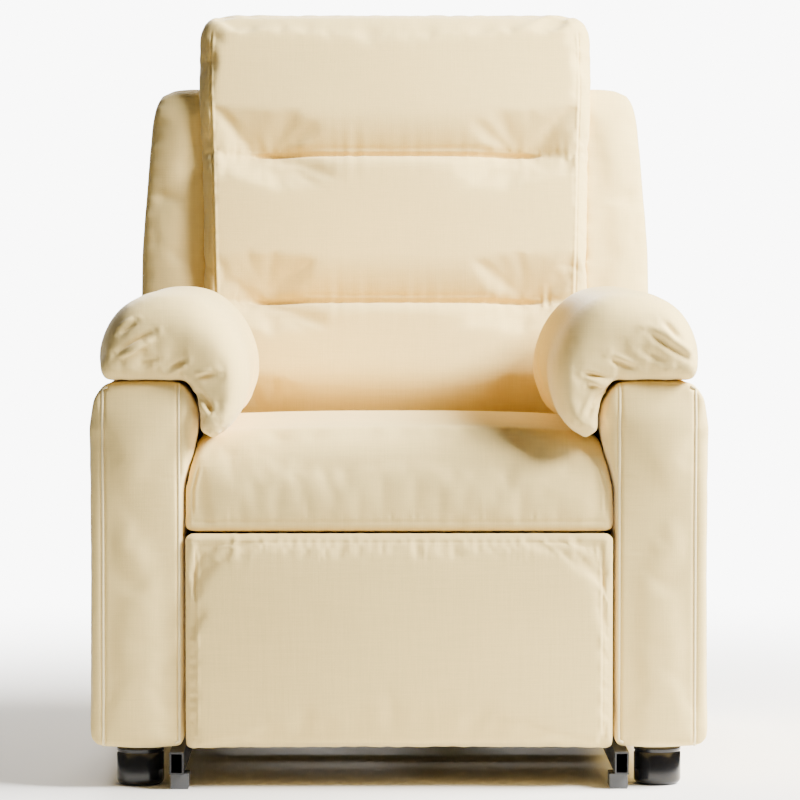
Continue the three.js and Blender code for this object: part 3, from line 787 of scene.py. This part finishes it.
class CHAIR_OT_wings(bpy.types.Operator):
    """Makes the padded side wings of the back."""

    bl_idname = "chair.wings"
    bl_label = "Wings"

    def execute(self, context):
        grid = context.scene.chair_upholstery.grid
        obj = remeshed(copy_of("wing_right", "wing_cover_right"), grid)
        # the inner face comes in to the cushion beside it
        points = points_of(obj)
        v = (points - np.array(leaned(0, 0, 0))) @ np.array(UPWARD) / MM
        inner, outer = (np.interp(v, *zip(*table)) * MM for table in (WING_INNER, WING_OUTER))
        points[:, 0] = outer - (outer - points[:, 0]) * (outer - WING_FACE) / (outer - inner)
        # the front face turns outwards
        u = (points - np.array(leaned(0, 0, 0))) @ np.array(REARWARD)
        turned_back = (8 * MM + 0.32 * (points[:, 0] - WING_FACE)) * smooth_step((0.02 - u) / 0.06)
        points += np.outer(turned_back, np.array(REARWARD))
        set_points(obj, points)
        relaxed(obj, 8)
        inflated(obj, 6 * MM, shrink=-0.03)
        relaxed(obj, 4)
        rise = np.linspace(0.19, 0.545, 40)
        edge = [leaned(0.346 - 0.02 * smooth_step((v - 0.3) / 0.2), -0.066, v) for v in rise]
        refined(obj, [edge], 10 * MM)
        welted(obj, cast_on(obj, edge, REARWARD), 0.7 * MM, 2.0 * MM, seed=33)
        for n, (x, v) in enumerate(((0.285, 0.50), (0.31, 0.36), (0.30, 0.27))):
            start, end = laid_on(obj, [leaned(x, -0.07, v), leaned(x + 0.012, -0.07, v - 0.09)])
            creased(obj, start, end, 0.45 * MM, 12 * MM, lean=(-1) ** n)
        finer(obj)
        twin = mirrored(obj, "wing_cover_left")
        for piece, name in ((obj, "wing_right"), (twin, "wing_left")):
            dressed(piece, "cover", "back", (name,))
        return {"FINISHED"}


def boxing(name):
    """The strip of the cover that turns forward over the top of the back frame to the head cushion."""
    half, crest, bend = 266 * MM, 649 * MM, 24 * MM
    near, far = 7 * MM, 101 * MM
    rim = [(-half, v) for v in np.linspace(0.53, crest - bend, 14)]
    rim += [(-half + bend - bend * math.cos(a), crest - bend + bend * math.sin(a))
            for a in np.linspace(0.25, math.pi / 2, 6)]
    rim += [(x, crest) for x in np.linspace(-half + bend, 0, 30)][1:]
    rim += [(-x, v) for x, v in reversed(rim[:-1])]
    loop = [(u, 3 * MM * math.sin(math.pi * (u - near) / (far - near))) for u in np.linspace(near, far, 12)]
    loop += [(u, -5 * MM) for u in np.linspace(far, near, 12)]
    verts = []
    for i, (x, v) in enumerate(rim):
        (x0, v0), (x1, v1) = rim[max(i - 1, 0)], rim[min(i + 1, len(rim) - 1)]
        out_x, out_v = v0 - v1, x1 - x0
        size = math.hypot(out_x, out_v)
        verts += [leaned(x + out_x / size * out, u, v + out_v / size * out) for u, out in loop]
    return shaded_smooth(new_object(name, verts, ring_faces(len(rim), len(loop))))


class CHAIR_OT_rear_cover(bpy.types.Operator):
    """Makes the padded panel that closes the rear of the back."""

    bl_idname = "chair.rear_cover"
    bl_label = "Rear cover"

    def execute(self, context):
        obj = remeshed(copy_of("rear_cover", "rear_cover_panel"), 5 * MM)
        relaxed(obj, 4)
        inflated(obj, 4 * MM)
        for v in (0.128, 0.44):
            line = [leaned(x, 0.12, v) for x in np.linspace(-0.335, 0.335, 60)]
            seamed(obj, laid_on(obj, line), 2 * MM, 5 * MM, gathers=0.6 * MM, spacing=0.03, seed=41)
        dressed(finer(obj), "cover", "back", ("rear_cover",))
        dressed(boxing("rear_cover_boxing"), "cover", "back")
        return {"FINISHED"}

# ---------------------------------------------------------------- seat and footrest
ARM_FACE = ((380, 272.6), (404, 267), (428, 261), (452, 256.5), (470, 254))


class CHAIR_OT_seat(bpy.types.Operator):
    """Makes the crowned seat cushion with its rolled front."""

    bl_idname = "chair.seat"
    bl_label = "Seat cushion"

    def execute(self, context):
        near, far = low("seat_cushion"), high("seat_cushion")
        corners = ((near.y, near.z - 4.5 * MM), (near.y + 12 * MM, far.z + 5 * MM),
                   (far.y + 4 * MM, far.z + 7 * MM), (far.y + 4 * MM, near.z))

        def swell(share, y, z, out_y, out_z):
            run = np.clip((y - near.y) / (far.y - near.y), 0, 1)
            top = 9 * MM * max(out_z, 0) * (1 - abs(share) ** 2.6) * (1 - 0.45 * run)
            rise = np.clip((z - near.z) / (far.z - near.z), 0, 1)
            front = 5 * MM * max(-out_y, 0) * (1 - abs(share) ** 3) * math.sin(math.pi * rise) ** 0.8
            return top + front

        outline = rounded_outline(corners, (5 * MM, 50 * MM, 16 * MM, 12 * MM))
        obj = pillow("seat_cover", outline, lambda z: width_at(ARM_FACE, z), 9 * MM, swell)
        remeshed(obj, context.scene.chair_upholstery.grid)
        points = points_of(obj)
        held = np.clip(1 - (points[:, 2] - near.z) / 0.012, 0, 1)
        held = np.maximum(held, np.clip((np.abs(points[:, 0]) - 0.245) / 0.012, 0, 1))
        held = np.maximum(held, np.clip((points[:, 1] - far.y + 0.03) / 0.02, 0, 1))
        inflated(obj, 5 * MM, held, shrink=-0.015)
        relaxed(obj, 5)
        for n, (x0, x1, y0, y1) in enumerate(((-0.19, -0.02, 0.075, 0.10), (0.03, 0.20, 0.13, 0.10),
                                              (-0.15, 0.09, 0.20, 0.19))):
            start, end = laid_on(obj, [(x0, near.y + y0, far.z), (x1, near.y + y1, far.z)])
            creased(obj, start, end, 0.9 * MM, 13 * MM, lean=(-1) ** n)
        hem = [(x, near.y, near.z + 9 * MM) for x in np.linspace(-far.x + 0.012, far.x - 0.012, 70)]
        sides = []
        for side in (-1, 1):
            rise = np.linspace(0.012, 0.085, 24)
            sides.append([(side * (width_at(ARM_FACE, near.z + t) - 11 * MM), near.y + 0.1 * t, near.z + t)
                          for t in rise])
        refined(obj, [hem] + sides, 9 * MM)
        finer(obj)
        seamed(obj, cast_on(obj, hem, INWARD), 0.8 * MM, 2.6 * MM, gathers=0.35 * MM, spacing=0.03, seed=52)
        tucked(obj, hem, (0, 0, 1), 0.5 * MM, 0.075, seed=57)
        for path in sides:
            welted(obj, cast_on(obj, path, INWARD), 0.8 * MM, 2.0 * MM, seed=51)
        dressed(obj, "cover", "chair", ("seat_cushion",))
        return {"FINISHED"}


class CHAIR_OT_footrest(bpy.types.Operator):
    """Makes the footrest pad, gathered under its top seam."""

    bl_idname = "chair.footrest"
    bl_label = "Footrest pad"

    def execute(self, context):
        near, far = low("footrest_pad"), high("footrest_pad")
        corners = ((near.y, near.z), (near.y + 1 * MM, far.z + 2.5 * MM), (far.y, far.z + 1 * MM),
                   (far.y, near.z))

        def swell(share, y, z, out_y, out_z):
            rise = np.clip((z - near.z) / (far.z - near.z), 0, 1)
            return 11 * MM * max(-out_y, 0) * (1 - abs(share) ** 2.2) * (1 - abs(2 * rise - 1) ** 3)

        outline = rounded_outline(corners, (11 * MM, 5 * MM, 4 * MM, 5 * MM))
        obj = pillow("footrest_cover", outline, lambda z: far.x, 7 * MM, swell)
        remeshed(obj, context.scene.chair_upholstery.grid)
        points = points_of(obj)
        held = np.clip((points[:, 1] - near.y - 0.022) / 0.01, 0, 1)
        held = np.maximum(held, np.clip((points[:, 2] - far.z + 0.010) / 0.006, 0, 1))
        held = np.maximum(held, np.clip((np.abs(points[:, 0]) - far.x + 0.010) / 0.006, 0, 1))
        inflated(obj, 6 * MM, held, shrink=-0.03)
        relaxed(obj, 1)
        seam = [(x, near.y, far.z - 8 * MM) for x in np.linspace(-far.x + 0.011, far.x - 0.011, 120)]
        rise = np.linspace(near.z + 0.014, far.z - 0.012, 50)
        sides = [[(side * (far.x - 13 * MM), near.y, z) for z in rise] for side in (-1, 1)]
        refined(obj, [seam], 26 * MM)
        refined(obj, sides, 9 * MM)
        finer(obj)
        seamed(obj, cast_on(obj, seam, INWARD), 0.7 * MM, 2.4 * MM, gathers=0.5 * MM, spacing=0.022,
               reach=0.03, seed=61)
        tucked(obj, seam, (0, 0, -1), 0.45 * MM, 0.034, seed=63)
        for path in sides:
            welted(obj, cast_on(obj, path, INWARD), 0.8 * MM, 2.0 * MM, seed=62)
        dressed(obj, "cover", "footrest", ("footrest_pad",))
        return {"FINISHED"}

# ---------------------------------------------------------------- arms
PANEL_EDGES = (375 * MM, 279 * MM)


def panel_edge(x, near, far):
    """A corded edge of the front panel, from the hem to the top of the arm."""
    return [(x, near.y - 0.01, z) for z in np.linspace(near.z + 0.005, far.z - 0.006, 80)]


class CHAIR_OT_arms(bpy.types.Operator):
    """Makes the arms: padded sides and a crowned front panel between two corded edges."""

    bl_idname = "chair.arms"
    bl_label = "Arms"

    def execute(self, context):
        soft = context.scene.chair_upholstery
        near, far = low("arm_right"), high("arm_right")
        obj = remeshed(copy_of("arm_right", "arm_cover_right"), soft.grid)
        relaxed(obj, 5)
        points = points_of(obj)
        middle, half = sum(PANEL_EDGES) / 2, (far.x - near.x) / 2
        front = smooth_step((near.y + 0.03 - points[:, 1]) / 0.02)
        bow = np.clip(1 - ((points[:, 0] - middle) / half) ** 2, 0, 1)
        height = 4 * MM + 8 * MM * smooth_step((points[:, 2] - 0.30) / 0.14)
        height *= smooth_step((far.z + 0.004 - points[:, 2]) / 0.06)
        points[:, 1] -= height * front * bow
        set_points(obj, points)
        inflated(obj, 3 * MM, shrink=-0.015)
        relaxed(obj, 4)
        edges = [panel_edge(x, near, far) for x in PANEL_EDGES]
        refined(obj, [cast_on(obj, edge, INWARD) for edge in edges], 9 * MM)
        finer(obj)
        for n, edge in enumerate(edges):
            seamed(obj, cast_on(obj, edge, INWARD), 2.4 * MM, 3.0 * MM, gathers=0.2 * MM, spacing=0.05,
                   seed=71 + n)
        tucked(obj, edges[1], (1, 0, 0), 0.4 * MM, 0.09, seed=75)
        cords = [tube(f"arm_piping_{n + 1}_right", cast_on(obj, edge, INWARD, -0.4 * MM), soft.cord)
                 for n, edge in enumerate(edges)]
        for side, sign in SIDES:
            body = obj if sign > 0 else mirrored(obj, "arm_cover_left")
            dressed(body, "cover", "chair", (f"arm_{side}",))
            for n, cord in enumerate(cords):
                edge = cord if sign > 0 else mirrored(cord, f"arm_piping_{n + 1}_left")
                dressed(edge, "piping", "chair")
        return {"FINISHED"}

PAD_OUTER = ((381, 521), (381, 545), (372, 582), (347, 612), (300, 625), (252, 618), (214, 582), (196, 532),
             (200, 484), (214, 455), (236, 444))
PAD_ROOT = ((376, 521), (281, 521), (266, 514), (254, 494), (252, 454), (244, 446))
# folds at the front of each pad: where they start and end (across and up), depth and width, in mm
FOLDS = {
    "right": (((313, 580), (370, 543), 5.5, 5.5, 1), ((332, 594), (352, 572), 3.0, 5.0, -1),
              ((266, 546), (297, 533), 4.5, 4.5, 1), ((234, 528), (262, 520), 4.5, 3.6, -1),
              ((238, 511), (269, 518), 4.5, 3.6, 1), ((246, 490), (263, 510), 4.0, 4.0, -1),
              ((236, 470), (250, 500), 3.0, 5.0, 1), ((300, 560), (338, 541), 2.5, 6.0, -1)),
    "left": (((353, 578), (331, 593), 4.0, 4.5, 1), ((358, 553), (309, 582), 5.5, 5.0, -1),
             ((350, 545), (318, 563), 4.0, 4.5, 1), ((293, 532), (270, 545), 4.0, 4.0, -1),
             ((256, 521), (233, 528), 4.0, 4.0, 1), ((254, 506), (234, 478), 5.0, 4.5, -1),
             ((240, 494), (236, 450), 3.0, 4.5, 1), ((330, 538), (302, 548), 2.5, 5.0, -1)),
}


def in_plane(points, y):
    return [(x * MM, y, z * MM) for x, z in points]


class CHAIR_OT_arm_pads(bpy.types.Operator):
    """Makes the pillow pads that roll over the arms, with the folds at their front ends."""

    bl_idname = "chair.arm_pads"
    bl_label = "Arm pads"

    def execute(self, context):
        near, far = low("arm_pad_right"), high("arm_pad_right")
        obj = remeshed(copy_of("arm_pad_right", "arm_pad_cover_right"), 5.5 * MM)
        points = points_of(obj)
        flat = points.copy()
        flat[:, 1] = 0
        from_root = nearest_on(flat, in_plane(PAD_ROOT, 0))[0]
        from_skin = nearest_on(flat, smooth_path(in_plane(PAD_OUTER, 0), 40))[0]
        depth = from_root / np.maximum(from_root + from_skin, 1e-6)
        bow = 1 - np.sqrt(np.clip(1 - (2 * depth - 1) ** 2, 0, 1))
        bow = np.where(depth > 0.5, bow * 46 * MM, bow * 9 * MM)
        for end, sign in ((near.y, 1), (far.y, -1)):
            reach = np.clip(1 - sign * (points[:, 1] - end) / 0.16, 0, 1)
            points[:, 1] += sign * bow * reach
        # the roots hug the arm below them
        points[:, 2] -= 2.5 * MM * smooth_step((0.535 - points[:, 2]) / 0.012) * (points[:, 0] > 0.276)
        set_points(obj, points)
        relaxed(obj, 4)
        held = np.clip(1 - from_root / 0.010, 0, 1)
        inflated(obj, 7 * MM, held, shrink=-0.03)
        relaxed(obj, 2)
        root = cast_on(obj, smooth_path(in_plane(PAD_ROOT, near.y), 50), INWARD)
        seamed(obj, root, 1.2 * MM, 6 * MM, gathers=2.6 * MM, spacing=0.026, reach=0.040, seed=81)
        twin = mirrored(obj, "arm_pad_cover_left")
        for piece, (side, sign) in ((twin, SIDES[0]), (obj, SIDES[1])):
            lines = []
            for (x0, z0), (x1, z1), *_ in FOLDS[side]:
                ends = [(x * MM * sign, near.y, z * MM) for x, z in ((x0, z0), (x1, z1))]
                lines.append(cast_on(piece, ends, INWARD))
            refined(piece, lines, 16 * MM)
            finer(piece)
            for (start, end), (_, _, size, width, lean) in zip(lines, FOLDS[side]):
                creased(piece, start, end, 1.05 * size * MM, 0.9 * width * MM, lean=lean)
            relaxed(piece, 1)
            shaded_smooth(piece)
            dressed(piece, "cover", "chair", (f"arm_pad_{side}",))
        return {"FINISHED"}


class CHAIR_OT_pockets(bpy.types.Operator):
    """Makes the patch pockets on the outer sides, with a sewn hem along the mouth."""

    bl_idname = "chair.pockets"
    bl_label = "Side pockets"

    def execute(self, context):
        near, far = low("side_pocket_right"), high("side_pocket_right")
        obj = remeshed(copy_of("side_pocket_right", "side_pocket_cover_right"), 2.6 * MM)
        relaxed(obj, 3)
        hem = [(far.x, y, far.z - 0.022) for y in np.linspace(near.y + 0.004, far.y - 0.004, 50)]
        seamed(obj, laid_on(obj, hem), 0.9 * MM, 2.5 * MM, gathers=0.5 * MM, spacing=0.016, reach=0.02,
               seed=91)
        shaded_smooth(obj)
        twin = mirrored(obj, "side_pocket_cover_left")
        for piece, side in ((obj, "right"), (twin, "left")):
            dressed(piece, "cover", "chair", (f"side_pocket_{side}",))
        return {"FINISHED"}


class CHAIR_OT_valance(bpy.types.Operator):
    """Makes the lining that closes the rear between the arms."""

    bl_idname = "chair.valance"
    bl_label = "Rear valance"

    def execute(self, context):
        near, far = low("rear_valance"), high("rear_valance")
        obj = remeshed(copy_of("rear_valance", "rear_lining"), 4 * MM)
        relaxed(obj, 2)
        for z in (near.z + 0.012, far.z - 0.012):
            hem = [(x, far.y, z) for x in np.linspace(near.x + 0.01, far.x - 0.01, 60)]
            seamed(obj, laid_on(obj, hem), 0.8 * MM, 3 * MM, gathers=0.7 * MM, spacing=0.03, reach=0.04,
                   seed=95)
        dressed(shaded_smooth(obj), "lining", "chair", ("rear_valance",))
        return {"FINISHED"}

# ---------------------------------------------------------------- hard parts
def turned(name, profile, sides=64):
    """A turned piece about Z: profile is radius and height, from the bottom centre to the top centre."""
    verts = [Vector((0, 0, profile[0][1]))]
    rings = profile[1:-1]
    for radius, height in rings:
        for k in range(sides):
            angle = 2 * math.pi * k / sides
            verts.append(Vector((radius * math.cos(angle), radius * math.sin(angle), height)))
    verts.append(Vector((0, 0, profile[-1][1])))
    faces = [(0, 1 + (k + 1) % sides, 1 + k) for k in range(sides)]
    for i in range(len(rings) - 1):
        for k in range(sides):
            a, b = 1 + i * sides + k, 1 + i * sides + (k + 1) % sides
            faces.append((a, b, b + sides, a + sides))
    top = 1 + (len(rings) - 1) * sides
    faces += [(top + k, top + (k + 1) % sides, len(verts) - 1) for k in range(sides)]
    return new_object(name, verts, faces)


def moved(obj, spot, matrix=None):
    obj.data.transform(Matrix.Translation(spot) @ (matrix or Matrix.Identity(4)))
    return obj


class CHAIR_OT_feet(bpy.types.Operator):
    """Makes the round moulded feet with a rolled lower edge and a collar."""

    bl_idname = "chair.feet"
    bl_label = "Feet"

    def execute(self, context):
        for end in ("front", "rear"):
            for side, _ in SIDES:
                node = f"foot_{end}_{side}"
                near, far = low(node), high(node)
                r, top = (far.x - near.x) / 2, far.z - near.z
                edge = [(r - 8 * MM + 8 * MM * math.sin(a), 8 * MM - 8 * MM * math.cos(a))
                        for a in np.linspace(0, math.pi / 2, 9)]
                profile = [(0, 0)] + edge + [(r, top - 9 * MM), (r - 1.2 * MM, top - 7.8 * MM),
                                             (r - 1.2 * MM, top - 6.6 * MM), (r, top - 5.6 * MM), (r, top),
                                             (0, top)]
                obj = moved(turned(f"moulded_{node}", profile),
                            Vector(((near.x + far.x) / 2, (near.y + far.y) / 2, near.z)))
                dressed(shaded_smooth(obj), "foot", "chair", (node,))
        return {"FINISHED"}

# joint, body, distance of the plate's face from the middle, and radius of the rivet in mm
PIVOTS = (("lift", "base", 0.262, 8), ("chair_tilt", "chair", 0.260, 8),
          ("lower_link_swing", "base", 0.266, 8), ("footrest_extend", "chair", 0.238, 5.5),
          ("link_b_swing", "chair", 0.226, 5.5), ("link_c_swing", "footrest_links_a", 0.232, 5.5),
          ("link_d_swing", "footrest_links_b", 0.220, 5.5), ("footrest_tilt", "footrest", 0.232, 5.5))


class CHAIR_OT_steelwork(bpy.types.Operator):
    """Finishes the steel, wood and plastic parts of the frame, and rivets the pivots."""

    bl_idname = "chair.steelwork"
    bl_label = "Frame and links"

    def execute(self, context):
        edge = context.scene.chair_hardware.edge
        slots = {s["node"]: s["material_slot"] for s in frame["record"]["subparts"]}
        for name, obj in frame["nodes"].items():
            obj.data.materials.clear()
            obj.data.materials.append(MATERIALS[SLOT_MATERIALS[slots[name]]])
            obj.data.polygons.foreach_set("use_smooth", [True] * len(obj.data.polygons))
            bevel = obj.modifiers.new("edge", "BEVEL")
            bevel.width = edge
            bevel.segments = 2
            bevel.limit_method = "ANGLE"
            bevel.angle_limit = math.radians(35)
            bevel.harden_normals = True
        dome = [(0, 0)] + [(math.sin(a), 0.42 * (1 + math.cos(a))) for a in np.linspace(math.pi / 2, 0.2, 6)]
        for joint, body, plane, size in PIVOTS:
            spot = joint_at(joint)
            for side, sign in SIDES:
                profile = [(0, 0), (size * MM, 0)]
                profile += [(r * size * MM, h * size * MM * 0.5) for r, h in dome[1:]]
                profile.append((0, 0.42 * size * MM))
                rivet = turned(f"rivet_{joint}_{side}", profile, 24)
                turn = Matrix.Rotation(-sign * math.pi / 2, 4, "Y")
                moved(rivet, Vector((sign * (plane - 0.0002), spot.y, spot.z)), turn)
                dressed(shaded_smooth(rivet), "zinc", body)
        return {"FINISHED"}

# ---------------------------------------------------------------- stage
def area_light(name, spot, target, size, power, colour):
    data = bpy.data.lights.new(name, "AREA")
    data.shape = "RECTANGLE"
    data.size, data.size_y = size
    data.energy = power
    data.color = colour
    lamp = bpy.data.objects.new(name, data)
    lamp.location = spot
    lamp.rotation_euler = (Vector(target) - Vector(spot)).to_track_quat("-Z", "Y").to_euler()
    bpy.context.scene.collection.objects.link(lamp)


def surround(tree, daylight, brightness):
    """A faint warm light from all round, and a white surround behind everything."""
    tree.nodes.clear()
    soft = add_node(tree, "ShaderNodeBackground", {"Color": (1.0, 0.96, 0.89, 1), "Strength": daylight})
    white = add_node(tree, "ShaderNodeBackground", {"Color": (1.0, 1.0, 0.995, 1), "Strength": brightness})
    seen = add_node(tree, "ShaderNodeLightPath")
    mixed = add_node(tree, "ShaderNodeMixShader", {0: seen.outputs["Is Camera Ray"], 1: soft.outputs[0],
                                                   2: white.outputs[0]})
    add_node(tree, "ShaderNodeOutputWorld", {"Surface": mixed.outputs[0]})


class CHAIR_OT_stage(bpy.types.Operator):
    """Sets up the pale floor, the soft studio light and the camera."""

    bl_idname = "chair.stage"
    bl_label = "Stage"

    def execute(self, context):
        stage = context.scene.chair_stage
        # a round floor, whose material fades out before its edge
        turns = [2 * math.pi * k / 96 for k in range(96)]
        verts = [(0, 0, 0)] + [(stage.reach * math.cos(a), stage.reach * math.sin(a), 0) for a in turns]
        faces = [(0, k + 1, (k + 1) % 96 + 1) for k in range(96)]
        floor = new_object("floor", verts, faces)
        floor.data.materials.append(MATERIALS["floor"])

        world = context.scene.world or bpy.data.worlds.new("world")
        context.scene.world = world
        world.use_nodes = True
        surround(world.node_tree, stage.daylight, stage.surround)
        for name, aside, share in (("key_front", 62, 0.5), ("key_side", 86, 0.5)):
            turn, rise, away = math.radians(aside), math.radians(37), 3.5
            spot = (away * math.sin(turn) * math.cos(rise), -away * math.cos(turn) * math.cos(rise),
                    0.5 + away * math.sin(rise))
            area_light(name, spot, (0, 0, 0.55), (1.1, 1.1), stage.key * share, (1.0, 0.99, 0.97))
        area_light("rear", (-0.9, 3.4, 2.6), (0, 0, 0.6), (1.6, 1.2), stage.rear, (1.0, 0.98, 0.95))

        lens = bpy.data.cameras.new("camera")
        lens.lens = stage.lens
        lens.sensor_width = 36
        lens.clip_end = 60
        camera = bpy.data.objects.new("camera", lens)
        camera.location = stage.camera
        camera.rotation_euler = (math.pi / 2 - stage.down, 0, -stage.aside)
        context.scene.collection.objects.link(camera)
        context.scene.camera = camera
        return {"FINISHED"}


class CHAIR_PT_panel(bpy.types.Panel):
    """Lists the steps that dress the chair."""

    bl_idname = "CHAIR_PT_panel"
    bl_label = "Lift recliner chair"
    bl_space_type = "VIEW_3D"
    bl_region_type = "UI"
    bl_category = "Chair"

    def draw(self, context):
        for step in STEPS:
            self.layout.operator(step.bl_idname)

STEPS = (CHAIR_OT_stage, CHAIR_OT_steelwork, CHAIR_OT_feet, CHAIR_OT_back, CHAIR_OT_wings,
         CHAIR_OT_rear_cover, CHAIR_OT_seat, CHAIR_OT_footrest, CHAIR_OT_arms, CHAIR_OT_arm_pads,
         CHAIR_OT_pockets, CHAIR_OT_valance)
SETTINGS = (("chair_upholstery", ChairUpholstery), ("chair_hardware", ChairHardware),
            ("chair_stage", ChairStage))
CLASSES = tuple(group for _, group in SETTINGS) + STEPS + (CHAIR_PT_panel,)


def register():
    for item in CLASSES:
        bpy.utils.register_class(item)
    for name, group in SETTINGS:
        setattr(bpy.types.Scene, name, PointerProperty(type=group))


def unregister():
    for name, _ in SETTINGS:
        delattr(bpy.types.Scene, name)
    for item in reversed(CLASSES):
        bpy.utils.unregister_class(item)


def main():
    register()
    make_materials(bpy.context.scene)
    for step in STEPS:
        group, name = step.bl_idname.split(".")
        getattr(getattr(bpy.ops, group), name)()

if __name__ == "__main__":
    main()
